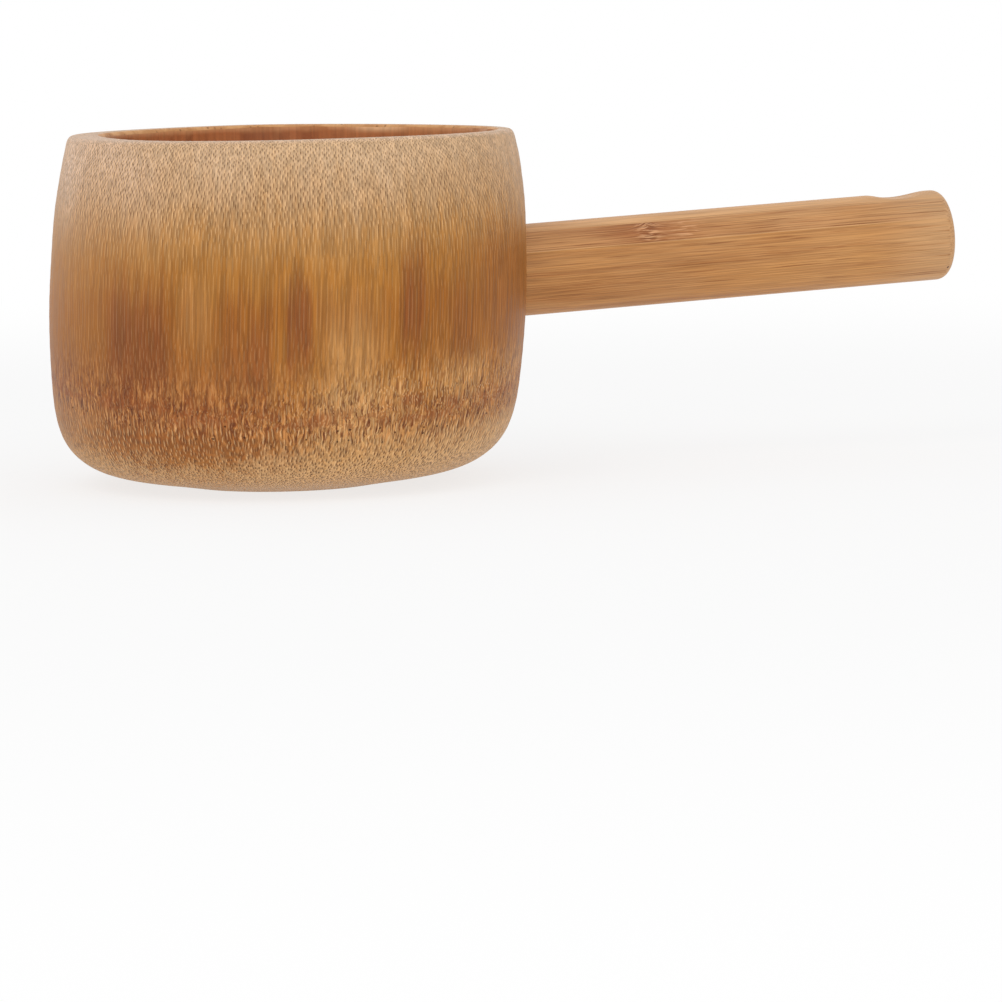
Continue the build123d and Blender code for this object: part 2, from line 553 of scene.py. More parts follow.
wallOuter = cup["bellyRadius"] + leanAt(handle["axisHeight"])
wallInner = mouthRadius + cup["hollowOffset"] + leanAt(handle["axisHeight"])
shoulder = wallOuter - handle["seatDepth"]
tenonEnd = wallInner - handle["tenonProud"]
kerfEnd = tenonEnd + handle["kerfDepth"]


def makeRodCutter(name, line, sides=128):
    # a turned body around the rod's axis from (place along it, radius) pairs
    turns = np.arange(sides) * 2 * math.pi / sides
    circle = np.cos(turns)[:, None] * stackWay + np.sin(turns)[:, None] * widthWay
    rings = [rodStart + alongRod * place + circle * radius for place, radius in line]
    return meshFromRings(name, rings, [])


def cutSeatAndBore(shell):
    gap = handle["glueGap"]
    cutter = makeRodCutter("seatCutter", [
        (tenonEnd - 4, handle["tenonRadius"] + gap),
        (shoulder, handle["tenonRadius"] + gap),
        (shoulder, handle["radius"] + gap),
        (wallOuter + 8, handle["radius"] + gap),
    ])
    cutAway(shell, cutter)
    bpy.data.objects.remove(cutter)


def softLeast(first, second, softness):
    share = np.clip(0.5 + 0.5 * (second - first) / softness, 0, 1)
    return second * (1 - share) + first * share - softness * share * (1 - share)


def rodRadius(place):
    if place <= shoulder:
        chamfer = max(0, handle["tenonChamfer"] - (place - tenonEnd))
        return handle["tenonRadius"] - chamfer
    radius = handle["radius"]
    left = handle["endRound"] - (handle["reach"] - place)
    if left > 0:
        radius -= handle["endRound"] - math.sqrt(max(0, handle["endRound"] ** 2 - left**2))
    return radius


def rodPlaces():
    notch = handle["reach"] - handle["notchFromEnd"]
    places = [tenonEnd, tenonEnd + handle["tenonChamfer"], tenonEnd + 2, shoulder - 1, shoulder]
    places += [shoulder + 1e-4]
    places += list(np.linspace(shoulder + 1, notch - 13, 60))
    places += list(np.linspace(notch - 12.4, handle["reach"] - handle["endRound"], 70))
    bend = np.sin(np.linspace(0, math.pi / 2, 12))[1:]
    return places + list(handle["reach"] - handle["endRound"] + handle["endRound"] * bend)


def stripOutline(radius, near, far):
    # points round one strip's section as (across the stack, along the width)
    near, far = max(near, -radius), min(far, radius)
    points = []

    def addChord(depth, direction):
        half = math.sqrt(max(0, radius**2 - depth**2))
        for share in np.linspace(-1, 1, 11)[1:-1]:
            points.append((depth, direction * share * half))

    def addArc(start, end):
        share = np.linspace(0, 1, 44)
        share = np.r_[0, 0.004, 0.01, share[1:-1], 0.99, 0.996, 1]
        for angle in start + (end - start) * share:
            inset = handle["jointGroove"] * max(
                math.exp(-((radius * (angle - start)) / 0.11) ** 2),
                math.exp(-((radius * (end - angle)) / 0.11) ** 2),
            )
            points.append(((radius - inset) * math.cos(angle), (radius - inset) * math.sin(angle)))

    nearAngle = math.acos(max(-1, min(1, near / radius)))
    farAngle = math.acos(max(-1, min(1, far / radius)))
    if far >= radius:  # outer strip on the far side of the stack: one long arc
        addArc(-nearAngle, nearAngle)
        addChord(near, -1)
    elif near <= -radius:
        addArc(farAngle, 2 * math.pi - farAngle)
        addChord(far, 1)
    else:
        addArc(farAngle, nearAngle)
        addChord(near, -1)
        addArc(-nearAngle, -farAngle)
        addChord(far, 1)
    return np.array(points)


def makeStrip(name, near, far, material):
    notchMiddle = handle["reach"] - handle["notchFromEnd"]
    notchCentre = handle["radius"] - handle["notchDepth"] + handle["notchRadius"]
    rings = []
    for place in rodPlaces():
        outline = stripOutline(rodRadius(place), near, far)
        ring = rodStart + alongRod * place + outline[:, :1] * stackWay + outline[:, 1:] * widthWay
        reach = handle["notchRadius"] ** 2 - (place - notchMiddle) ** 2
        if reach > 0:
            height = (ring - rodStart) @ upFromRod
            scooped = softLeast(height, notchCentre - math.sqrt(reach), handle["notchSoftness"])
            ring = ring + (scooped - height)[:, None] * upFromRod
        rings.append(ring)
    return meshFromRings(name, rings, [material])


def makeKerfCutter():
    # tapered slot for the wedge, level with the ground and open at the tenon's end
    gap, over, side = handle["glueGap"], 2.0, handle["tenonRadius"] + 2.0
    slope = (handle["wedgeMouth"] - handle["wedgeTip"]) / 2 / handle["kerfDepth"]
    mouth, tip = handle["wedgeMouth"] / 2 + gap + slope * over, handle["wedgeTip"] / 2 + gap
    across = np.array([0, 1, 0])
    rings = []
    for reach in (-side, side):
        corners = ((tenonEnd - over, mouth), (kerfEnd, tip), (kerfEnd, -tip), (tenonEnd - over, -mouth))
        rings.append(np.array([rodStart + alongRod * a + upFromRod * b + across * reach for a, b in corners]))
    return meshFromRings("kerfCutter", rings, [])


# Shader groups

bundleShape = {
    "deepEnd": 0.65,  # strength of a core at its deep end, where it is darker outside
    "coreFade": (0.45, 1.35),
    "besideShift": 2.0,  # the pale stroke stands this far beside the core, in core widths
    "besideFade": (0.4, 1.5),
}
patchEnds = (0.2, 1.5)  # a patch fades out upward and downward between these shares of its half height


def makeCulmPlace():
    # where a point is in the culm: along the girth in millimetres, from the axis, above the foot, round it
    group, _ = newGroup("culmPlace", {}, ["Around", "Depth", "Height", "Angle"])
    _, times, less = sums(group)
    place = addNode(group, "ShaderNodeTexCoord").outputs["Object"]
    x, y, z = unpack(group, vectorCalc(group, "MULTIPLY", place, (1 / mm, 1 / mm, 1 / mm)))
    across = less(x, times(z, cup["lean"] / cup["height"]))
    angle = calc(group, "ARCTAN2", times(y, -1.0), times(across, -1.0))
    depth = vectorCalc(group, "LENGTH", pack(group, across, y), output="Value")
    around = times(angle, cup["girthRadius"])
    return putOut(group, Around=around, Depth=depth, Height=z, Angle=calc(group, "DEGREES", angle))


def makeRodPlace():
    # where a point is in the handle: along the rod, across the stack of strips, along their width
    group, _ = newGroup("rodPlace", {}, ["Along", "Across", "Width"])
    place = addNode(group, "ShaderNodeTexCoord").outputs["Object"]
    local = vectorCalc(group, "SUBTRACT", place, tuple(rodStart * mm))
    reaches = {}
    for name, way in (("Along", alongRod), ("Across", stackWay), ("Width", widthWay)):
        reaches[name] = vectorCalc(group, "DOT_PRODUCT", local, tuple(way / mm), output="Value")
    return putOut(group, **reaches)


def makeFibreBundles():
    # dark cores of the culm's fibre bundles, the pale stroke beside each, and a tone for each bundle; the
    # pale stroke is partly paler tissue and partly a painted highlight on one side of the core
    group, entry = newGroup(
        "fibreBundles",
        {
            "Across": 0, "Depth": 0, "CellAcross": 1.4, "CellDepth": 0.3,
            "CoreAcross": 0.14, "CoreDepth": 0.3, "Scatter": 0.5,
        },
        ["Core", "Beside", "Tone"],
    )
    add, times, less = sums(group)
    # they stand in staggered rows, so their cells lie on a grid that is turned by half a right angle
    cellsAcross = calc(group, "DIVIDE", entry["Across"], entry["CellAcross"])
    cellsDeep = calc(group, "DIVIDE", entry["Depth"], entry["CellDepth"])
    place = pack(group, add(cellsAcross, cellsDeep), less(cellsAcross, cellsDeep))
    cells = addNode(
        group, "ShaderNodeTexVoronoi", {"Vector": place, "Scale": 1.0, "Randomness": entry["Scatter"]},
        voronoi_dimensions="2D",
    ).outputs
    x, y, _ = unpack(group, vectorCalc(group, "SUBTRACT", place, cells["Position"]))
    across = calc(group, "DIVIDE", times(add(x, y), 0.5), entry["CoreAcross"])
    depth = calc(group, "DIVIDE", times(less(x, y), 0.5), entry["CoreDepth"])
    core = vectorCalc(group, "LENGTH", pack(group, across, depth), output="Value")
    aside = pack(group, add(across, bundleShape["besideShift"]), depth)
    beside = vectorCalc(group, "LENGTH", aside, output="Value")
    end = ease(group, depth, -1.0, 1.0, bundleShape["deepEnd"], 1.0)
    return putOut(
        group,
        Core=times(ease(group, core, *bundleShape["coreFade"], 1.0, 0.0), end),
        Beside=ease(group, beside, *bundleShape["besideFade"], 1.0, 0.0),
        Tone=firstChannel(group, cells["Color"]),
    )


def makeSoftPatch():
    # an upright patch with soft ends and firmer sides
    group, entry = newGroup(
        "softPatch",
        {
            "Angle": 0, "Height": 0, "AtAngle": 0, "AtHeight": 0,
            "HalfWidth": 5, "HalfHeight": 10, "Softness": 0.5,
        },
        ["Mask"],
    )
    add, times, less = sums(group)

    def away(value, middle, half):
        return calc(group, "ABSOLUTE", calc(group, "DIVIDE", less(entry[value], entry[middle]), entry[half]))

    inner, outer = less(1.0, entry["Softness"]), add(1.0, entry["Softness"])
    sides = ease(group, away("Angle", "AtAngle", "HalfWidth"), inner, outer, 1.0, 0.0)
    ends = ease(group, away("Height", "AtHeight", "HalfHeight"), *patchEnds, 1.0, 0.0)
    return putOut(group, Mask=times(sides, ends))


culmPlace = makeCulmPlace()
rodPlace = makeRodPlace()
fibreBundles = makeFibreBundles()
softPatch = makeSoftPatch()


# Cup finishes. The three scales of a noise are per metre through the solid. Where it is named grain, they are
# per millimetre: across the fibres, inward, and along them

turnedFinish = {
    # the palest stops at the foot are partly painted light from below
    "heights": [  # share of the cup's height, colour
        (0.00, (213, 169, 119)), (0.07, (209, 165, 114)), (0.13, (196, 148, 97)), (0.19, (177, 118, 60)),
        (0.25, (172, 112, 50)), (0.33, (174, 115, 50)), (0.42, (165, 105, 37)), (0.53, (161, 99, 31)),
        (0.63, (170, 112, 45)), (0.73, (180, 127, 66)), (0.80, (184, 137, 84)), (0.85, (190, 148, 102)),
        (0.97, (205, 169, 129)),
    ],
    "dark": (106, 60, 26),
    "pale": (232, 190, 138),
    "patch": (134, 74, 30),
    "burnt": (106, 52, 14),
    "clear": (206, 156, 98),
    # painted sheen on the left: greyer, and pinkish toward the rim
    "left": (188, 138, 98),
    "pink": (230, 197, 171),
    "amber": (150, 88, 28),
    "brown": (146, 84, 38),
    "bandDark": (112, 56, 24),
    "bandPale": (204, 140, 80),
    "bandSmooth": (146, 80, 36),
    "pit": (70, 34, 10),
    # painted highlight along the lip
    "lip": (238, 206, 180),
    "slow": (60, 60, 30),
    "broad": (560, 560, 36),
    "bend": (420, 420, 300),
    "gentle": (200, 200, 60),
    "fineGrain": (1.9, 2.6, 0.06),
    "strandGrain": (0.55, 1.1, 0.03),
    "strokeGrain": (2.1, 0.7, 0.32),
    "blotchGrain": (0.32, 0.5),
    "bandMiddle": 15.0,  # height of the node's band where it is lowest, which is at bandAngle
    "bandAngle": 97.0,
    "bandSlope": 0.105,
    "bandTurn": 10.0,  # half the angle over which it turns from falling to rising
    "bandMost": 6.5,
    "bandWander": 6.0,
    "bandHalf": 3.6,
    "strokesAbove": 7.5,  # how far the wavy strokes run on above it, how much more near the handle, and below
    "strokesMore": 3.5,
    "strokesBelow": 5.0,
    "strokeWarp": 1.3,
    "bendAcross": 1.7,
    "bendInward": 1.4,
    "drift": 0.5,
    "twistFrom": 48.0,
    "twist": 0.0048,
    "edgeStreaks": 14.0,
    "edgeWander": 8.0,
    "followBand": 0.4,
    "paleLag": 6.0,
    "patchStreaks": 4.0,  # degrees
    "blotchWobble": 3.0,
    "smoothStrength": 0.8,
    "smoothHides": 0.7,  # how much of the strokes a smooth patch hides
    "basewardLift": 8.0,  # the base's plain bundles reach this much higher on the handle's side
    "leastClear": 0.2,
    "coreStrength": 0.8,
    "pitStrength": 0.85,
    "pitCells": (0.3, 0.36),
    "outerBundles": {"CellAcross": 1.02, "CellDepth": 0.26},
    "innerBundles": {
        "CellAcross": 1.0, "CellDepth": 0.95, "CoreAcross": 0.16, "CoreDepth": 0.26, "Scatter": 0.8,
    },
    "relief": {"cores": -1.6, "beside": 0.3, "fine": 0.5, "strokes": 1.6, "depth": 0.06},
    "masks": {
        "handleSide": [("angle", 62, 105)],
        "leanBefore": [("angle", 20, 75, 1, 0)],
        "leanAfter": [("angle", 85, 130, 0, 0.9)],
        "deep": [("inward", 0.9, 2.1), ("height", 26, 36, 1, 0)],
        "low": [("height", 14, 24, 1, 0)],
        "lag": [("angle", 55, 100, 1, -0.5)],
        "streak": [("strands", 0.36, 0.56, 0.7, 1)],
        # painted sheen on the left side
        "left": [("angle", 5, 60, 1, 0), ("angle", -60, -10), ("height", 24, 58, 0, 0.3)],
        "brown": [
            ("angle", 62, 92, 0.55, 0), ("height", 6, 14), ("height", 26, 40, 1, 0.1), ("angle", -30, 10),
        ],
        # painted pinkish sheen on the left toward the rim
        "pink": [
            ("angle", 0, 70, 0.9, 0.15), ("height", 50, 73), ("slow", 0.35, 0.6, 0.6, 1), ("angle", -50, 0),
        ],
        "amber": [
            ("angle", 104, 150), ("angle", 150, 178, 1, 0.4),
            ("height", 24, 34), ("height", 47, 60, 0.75, 0.1),
        ],
        "blotch": [("blotch", 0.45, 0.52), ("fromBand", -1.5, 1)],
        "bandDark": [("strokes", 0.4, 0.48, 1, 0)],
        "bandPale": [("strokes", 0.54, 0.61, 0, 0.85)],
        # painted highlight along the lip's top
        "lip": [("height", 74.3, 75, 0, 0.6), ("broad", 0.35, 0.6, 0.5, 1)],
        "rimward": [("height", 47, 64)],
        "baseward": [
            ("lowered", 14, 24, 1, 0), ("height", 7, 13, 1.35, 1), ("height", 14, 19, 1, 0.6),
            ("angle", 60, 125, 1, 1.35),
        ],
        "frontLeft": [("angle", 25, 60, 1.25, 1)],
        "beside": [("height", 7, 18, 0.38, 0.55)],
        "pit": [
            ("pitAway", 0.05, 0.085, 1, 0), ("pitTone", 0.6, 0.64),
            ("fromBand", -4.6, -3.4), ("fromBand", 0.2, 1.4, 1, 0),
        ],
        "shade": [("fine", 0.4, 0.6, 0.84, 1.14), ("strands", 0.36, 0.64, 0.95, 1.04)],
        "calm": [("height", 18, 26), ("height", 56, 66, 1, 0), ("angle", 35, 62, 0.4, 0), ("angle", -30, 0)],
        "roughness": [("fine", 0.3, 0.7, 0.42, 0.56)],
    },
    # patches: angle, height, half width, half height, softness, strength
    "clearPatches": [
        (94, 30, 7, 12, 0.6, 0.45), (94, 12, 10, 8, 0.6, 0.7), (94, 21.5, 8, 5.5, 0.6, 0.9),
        (107, 9, 8, 7, 0.6, 0.55), (150, 28, 8, 7, 0.6, 0.35), (57, 40, 4, 8, 0.6, 0.25),
        (106, 21, 5, 5, 0.6, 0.4), (8, 14.5, 16, 8, 0.5, 0.8), (126, 23, 8, 6, 0.6, 0.6),
        (-60, 27, 9, 9, 0.6, 0.5), (-125, 25, 6, 9, 0.6, 0.5),
    ],
    "patches": [
        (41, 31.5, 9.5, 16, 0.35, 1), (45, 22.5, 6, 3.5, 0.5, 0.4), (57, 19, 5.5, 5, 0.5, 0.55),
        (69, 17, 6, 5, 0.5, 0.45), (34, 36, 5, 14, 0.8, 0.3), (52.5, 33, 3.2, 12, 0.5, 0.12),
        (65.5, 34, 3, 11, 0.5, 0.55), (72, 31, 3, 11, 0.5, 0.8), (81.5, 36, 2.7, 9.5, 0.3, 0.95),
        (109, 41, 3.4, 12.5, 0.4, 0.9), (115, 35, 5, 9, 0.7, 0.25), (124, 35, 4.5, 7.5, 0.5, 0.6),
        (146, 45, 13, 12, 0.7, 0.4), (-20, 36, 10, 12, 0.6, 0.5), (-48, 42, 4, 11, 0.5, 0.6),
        (-70, 31, 3, 9, 0.5, 0.7), (-88, 37, 7, 11, 0.7, 0.35), (-112, 34, 3.5, 12, 0.5, 0.65),
        (-139, 38, 6, 9, 0.6, 0.5),
    ],
    "burntPatches": [(42, 28, 8.5, 7, 0.35, 0.5)],
    "blotches": [  # smooth brown ones in the band
        (31, 21, 2.2, 1.7, 0.4, 1), (51.5, 17.6, 1.8, 1.3, 0.4, 1), (55.7, 17.7, 1.8, 1.2, 0.4, 1),
        (60, 17.9, 2.5, 1.6, 0.4, 1), (87, 17.8, 2.6, 1.6, 0.4, 1), (110, 21, 3.2, 1.5, 0.4, 1),
        (122, 19.8, 2.6, 1.5, 0.4, 1), (-62, 20.5, 3, 1.8, 0.4, 1), (-131, 19, 2.5, 1.5, 0.4, 1),
    ],
}


def patchMask(tree, angle, height, patches):
    # the strongest of the patches at each point
    total = 0.0
    for *shape, strength in patches:
        values = dict(zip(("AtAngle", "AtHeight", "HalfWidth", "HalfHeight", "Softness"), shape))
        patch = useGroup(tree, softPatch, Angle=angle, Height=height, **values)
        total = calc(tree, "MAXIMUM", calc(tree, "MULTIPLY", patch["Mask"], strength), total)
    return total


def makeTurnedCulm(name, finish):
    material, tree, shader = newMaterial(name, roughness=0.5, specular=0.2)
    add, times, less = sums(tree)
    place = useGroup(tree, culmPlace)
    height, angle = place["Height"], place["Angle"]
    slow, broad = solidNoise(tree, finish["slow"]), solidNoise(tree, finish["broad"])
    gentle = solidNoise(tree, finish["gentle"], detail=1)
    bends = bendsFrom(tree, solidNoise(tree, finish["bend"], output="Color"))
    fields = {"height": height, "angle": angle, "slow": slow, "broad": broad}
    mask = maskMaker(tree, fields, finish["masks"])

    # the node's band rises away from its lowest place, and its fibres bend and cross
    away = calc(tree, "POWER", less(angle, finish["bandAngle"]), 2.0)
    turned = less(calc(tree, "SQRT", add(away, finish["bandTurn"] ** 2)), finish["bandTurn"])
    slope = calc(tree, "MINIMUM", times(turned, finish["bandSlope"]), finish["bandMost"])
    bandRise = add(slope, times(less(slow, 0.5), finish["bandWander"]))
    fromBand = less(height, add(bandRise, finish["bandMiddle"]))
    band = bell(tree, fromBand, finish["bandHalf"])
    handleSide = mask("handleSide")
    strokesAbove = calc(tree, "MULTIPLY_ADD", handleSide, finish["strokesMore"], finish["strokesAbove"])
    reachUp = calc(tree, "DIVIDE", fromBand, strokesAbove)
    reachDown = calc(tree, "DIVIDE", fromBand, -finish["strokesBelow"])
    strokeBand = bell(tree, calc(tree, "MAXIMUM", reachUp, reachDown))

    # toward the rim the fibres lean to the middle of the side that is seen
    above = calc(tree, "MAXIMUM", less(height, finish["twistFrom"]), 0.0)
    lean = less(mask("leanBefore"), mask("leanAfter"))
    twist = times(calc(tree, "POWER", above, 2.0), finish["twist"], lean)
    across = add(less(place["Around"], twist), times(bends["X"], strokeBand, finish["bendAcross"]))
    inward = add(
        less(cup["bellyRadius"], place["Depth"]), times(bends["Y"], strokeBand, finish["bendInward"]),
        times(less(gentle, 0.5), finish["drift"]),
    )
    fields.update(inward=inward, fromBand=fromBand)
    outer = useGroup(tree, fibreBundles, Across=across, Depth=inward, **finish["outerBundles"])
    inner = useGroup(tree, fibreBundles, Across=across, Depth=inward, **finish["innerBundles"])
    deep = mask("deep")

    def layered(key):
        return add(times(outer[key], less(1.0, deep)), times(inner[key], deep))

    core, beside, bundleTone = layered("Core"), layered("Beside"), layered("Tone")

    # tissue between the bundles runs with them: long streaks on the belly, short ones where the wall slopes
    def grain(scales, shift=0.0, **settings):
        scaled = [times(value, scale) for value, scale in zip((across, inward, height), scales)]
        return noise(tree, pack(tree, add(scaled[0], shift), *scaled[1:]), **settings)

    fine = grain(finish["fineGrain"], detail=3)
    strands = grain(finish["strandGrain"])
    warp = times(bends["Z"], finish["strokeWarp"])
    strokes = grain(finish["strokeGrain"], warp, roughness=0.6, distortion=0.35)
    blotchPlace = [times(value, scale) for value, scale in zip((across, height), finish["blotchGrain"])]
    blotch = noise(tree, pack(tree, *blotchPlace), distortion=0.4)
    fields.update(fine=fine, strands=strands, strokes=strokes, blotch=blotch)

    # tone by height, with streaky edges; on the left the pale foot starts lower. The pale foot is partly
    # painted light from below, standing in for the bounce off the white floor
    low = mask("low")
    jitter = add(
        height, times(less(broad, 0.5), finish["edgeStreaks"]), times(less(slow, 0.5), finish["edgeWander"]),
    )
    jitter = add(jitter, times(mask("lag"), low, finish["paleLag"]))
    jitter = less(jitter, times(bandRise, low, finish["followBand"]))
    colour = colourRamp(tree, calc(tree, "DIVIDE", jitter, cup["height"]), finish["heights"])

    # soft patches, streaked like the fibres
    streak = mask("streak")
    shifted = add(angle, times(less(strands, 0.5), finish["patchStreaks"]))
    for listName, toneName in (("clearPatches", "clear"), ("patches", "patch"), ("burntPatches", "burnt")):
        total = patchMask(tree, shifted, jitter, finish[listName])
        colour = tint(tree, colour, times(total, streak), finish[toneName])

    # the left is greyer and pinkish toward the rim, a painted sheen of the light from the left; the handle's
    # side is warmer
    for toneName in ("left", "brown", "pink", "amber"):
        colour = tint(tree, colour, mask(toneName), finish[toneName])

    # smooth brown patches and crossing strokes along the node
    wobble = add(angle, times(less(blotch, 0.5), finish["blotchWobble"]))
    blotches = patchMask(tree, wobble, height, finish["blotches"])
    smooth = calc(tree, "MAXIMUM", times(mask("blotch"), band), blotches)
    strokeMask = times(strokeBand, less(1.0, times(smooth, finish["smoothHides"])))
    colour = tint(tree, colour, times(smooth, finish["smoothStrength"]), finish["bandSmooth"])
    for toneName in ("bandDark", "bandPale"):
        colour = tint(tree, colour, times(mask(toneName), strokeMask), finish[toneName])

    # painted highlight along the rounded lip, which makes it paler
    colour = tint(tree, colour, mask("lip"), finish["lip"])

    # bundles are plain near the rim and on the base, and faint on the belly
    fields["lowered"] = less(height, times(handleSide, finish["basewardLift"]))
    clear = calc(tree, "MAXIMUM", mask("rimward"), mask("baseward"))
    clear = calc(tree, "MULTIPLY_ADD", clear, 1 - finish["leastClear"], finish["leastClear"])
    clear = times(clear, mask("frontLeft"))
    varied = calc(tree, "MULTIPLY_ADD", bundleTone, 0.5, 0.5)
    coreMask = times(core, varied, clear, finish["coreStrength"])
    # the pale stroke beside each core is partly paler tissue and partly a painted highlight, as if the core
    # were lit from one side
    colour = tint(tree, colour, times(mask("beside"), beside, clear), finish["pale"])
    colour = tint(tree, colour, coreMask, finish["dark"])

    # a few small pits where shoots' fibres left the node
    pitPlace = [times(value, scale) for value, scale in zip((across, height), finish["pitCells"])]
    cells = addNode(
        tree, "ShaderNodeTexVoronoi", {"Vector": pack(tree, *pitPlace), "Scale": 1.0},
        voronoi_dimensions="2D",
    ).outputs
    fields.update(pitAway=cells["Distance"], pitTone=firstChannel(tree, cells["Color"]))
    pits = mask("pit")
    colour = tint(tree, colour, times(pits, finish["pitStrength"]), finish["pit"])

    # fine streaks over all of it, calmer on the left of the belly
    shade = mask("shade")
    shade = add(shade, times(less(1.0, shade), mask("calm")))
    colour = shadeBy(tree, colour, shade)
    relief = finish["relief"]
    raised = add(
        times(add(coreMask, pits), relief["cores"]), times(beside, relief["beside"]),
        times(fine, relief["fine"]), times(strokes, strokeBand, relief["strokes"]),
    )
    joinShader(tree, shader, colour, raised, relief["depth"], mask("roughness"))
    return material


skinFinish = {
    "base": (188, 115, 67),
    "dark": (159, 92, 51),
    "light": (212, 150, 98),
    "glow": (248, 200, 150),
    "floor": (186, 130, 84),
    "fine": (1800, 1800, 45),
    "broad": (300, 300, 26),
    "mottle": (110, 110, 110),
    "specks": (900, 900, 900),
    "ringGrain": (0.9, 3.0),  # how close the floor's rings lie, and how uneven they are
    "glowAngle": -128.0,
    "masks": {
        "dark": [("broad", 0.35, 0.68)],
        "light": [("mottle", 0.5, 0.75, 0, 0.5)],
        "mouth": [("streaky", 74.4, 75.8, 0, 0.7)],
        # far side near the handle: lighter toward the rim, fading to painted shade lower down
        "back": [("angle", -140, -105, 0.9, 0), ("height", 72.8, 75, 0.2, 1)],
        "glow": [("fromGlow", 2, 12, 0.75, 0), ("height", 73.2, 74.9)],
        "rings": [("rings", 0.35, 0.65, 0, 0.6)],
        "specks": [("specks", 0.62, 0.72, 0, 0.6)],
        "floor": [("height", 15, 20, 1, 0)],
        "shade": [("fine", 0.3, 0.7, 0.9, 1.08)],
        "roughness": [("mottle", 0.3, 0.7, 0.36, 0.52)],
    },
}


def makeHollowSkin(name, finish):
    material, tree, shader = newMaterial(name, roughness=0.42, specular=0.25)
    add, times, less = sums(tree)
    place = useGroup(tree, culmPlace)
    height, angle = place["Height"], place["Angle"]
    fine = solidNoise(tree, finish["fine"], detail=3)
    broad = solidNoise(tree, finish["broad"])
    mottle = solidNoise(tree, finish["mottle"], detail=4, roughness=0.6)
    close, uneven = finish["ringGrain"]
    fields = {
        "height": height, "angle": angle, "fine": fine, "broad": broad, "mottle": mottle,
        "streaky": calc(tree, "MULTIPLY_ADD", broad, 1.4, height),
        "fromGlow": calc(tree, "ABSOLUTE", less(angle, finish["glowAngle"])),
        "rings": noise(tree, pack(tree, times(place["Depth"], close), times(mottle, uneven))),
        "specks": solidNoise(tree, finish["specks"], detail=1),
    }
    mask = maskMaker(tree, fields, finish["masks"])
    colour = tint(tree, toLinear(*finish["base"]), mask("dark"), finish["dark"])
    colour = tint(tree, colour, mask("light"), finish["light"])
    # lighter at the mouth, and further down on the far side near the handle, where it fades out lower down to
    # leave painted shade on the far wall just above the near lip
    colour = tint(tree, colour, calc(tree, "MAXIMUM", mask("mouth"), mask("back")), finish["light"])
    colour = tint(tree, colour, mask("glow"), finish["glow"])

    # papery floor of the node wall, with rings and spots
    floorTone = tint(tree, toLinear(*finish["floor"]), mask("rings"), finish["base"])
    floorTone = tint(tree, floorTone, mask("specks"), finish["dark"])
    colour = mixColour(tree, mask("floor"), colour, floorTone)
    colour = shadeBy(tree, colour, mask("shade"))
    joinShader(tree, shader, colour, add(times(fine, 0.5), mottle), 0.12, mask("roughness"))
    return material


edgeFinish = {
    "base": (196, 138, 86),
    "light": (222, 168, 114),
    "dark": (112, 64, 34),
    "low": (180, 116, 70),
    "broad": (240, 240, 90),
    "bundles": {"CellAcross": 2.0, "CellDepth": 1.2, "CoreAcross": 0.16, "CoreDepth": 0.22},
    "masks": {
        "light": [("broad", 0.35, 0.7)],
        "low": [("streaky", 74.2, 75.6, 0.7, 0), ("angle", -140, -112, 0.3, 1)],
        "picked": [("tone", 0.8, 0.88, 0.05, 0.7)],
    },
}


def makeCutEdge(name, finish):
    # fresh cut inside the rim: lighter, with the bundles' ends as small dark specks
    material, tree, shader = newMaterial(name, roughness=0.55, specular=0.2)
    _, times, less = sums(tree)
    place = useGroup(tree, culmPlace)
    broad = solidNoise(tree, finish["broad"], detail=3)
    bundles = useGroup(tree, fibreBundles, Across=place["Around"], Depth=place["Depth"], **finish["bundles"])
    fields = {
        "angle": place["Angle"], "broad": broad, "tone": bundles["Tone"],
        "streaky": calc(tree, "MULTIPLY_ADD", broad, 1.2, place["Height"]),
    }
    mask = maskMaker(tree, fields, finish["masks"])
    colour = tint(tree, toLinear(*finish["base"]), mask("light"), finish["light"])
    colour = tint(tree, colour, mask("low"), finish["low"])
    colour = tint(tree, colour, times(bundles["Core"], mask("picked")), finish["dark"])
    joinShader(tree, shader, colour, less(broad, bundles["Core"]), 0.05)
    return material


# Handle finishes: every strip is its own piece of culm wall, so each has its own tone and seed

stripFinishes = {
    "handle_front_strip": {
        "base": (195, 139, 82), "dark": (144, 86, 44), "pale": (210, 158, 104),
        "seed": 11.0, "cells": (0.7, 0.6), "streaks": 0.75, "node": None, "ending": 0.55,
        "lengths": [(84.0, 18.0, "dark", 0.22), (122.0, 9.0, "pale", 0.25)],  # along, reach, tone, strength
    },
    "handle_front_core": {
        "base": (198, 144, 92), "dark": (142, 84, 46), "pale": (214, 164, 114),
        "seed": 37.0, "cells": (0.7, 0.6), "streaks": 0.8, "node": 81.2, "ending": 0.6,
    },
    "handle_back_core": {
        "base": (217, 167, 116), "dark": (176, 120, 72), "pale": (228, 180, 132),
        "seed": 59.0, "cells": (0.9, 0.7), "streaks": 0.45, "node": None, "ending": 0.5,
    },
    "handle_back_strip": {
        "base": (196, 142, 86), "dark": (150, 96, 52), "pale": (212, 162, 110),
        "seed": 83.0, "cells": (0.9, 0.8), "streaks": 0.6, "node": 118.0, "ending": 0.4,
    },
}
wedgeFinish = {
    "base": (226, 190, 144), "dark": (184, 138, 92), "pale": (238, 206, 164),
    "seed": 7.0, "cells": (0.6, 0.5), "streaks": 0.7, "node": None, "ending": 0.0,
}
stripGrain = {  # scale across and along the fibres, detail, shift
    "fine": (4.2, 0.08, 3, 0),
    "hair": (2.8, 0.06, 4, 21),
    "broad": (0.5, 0.022, 2, 5),
    "slow": (0.12, 0.03, 2, 9),
    "bend": (0.25, 0.1, 1, 13),
    "trail": (2.6, 0.22, 1, 31),
}
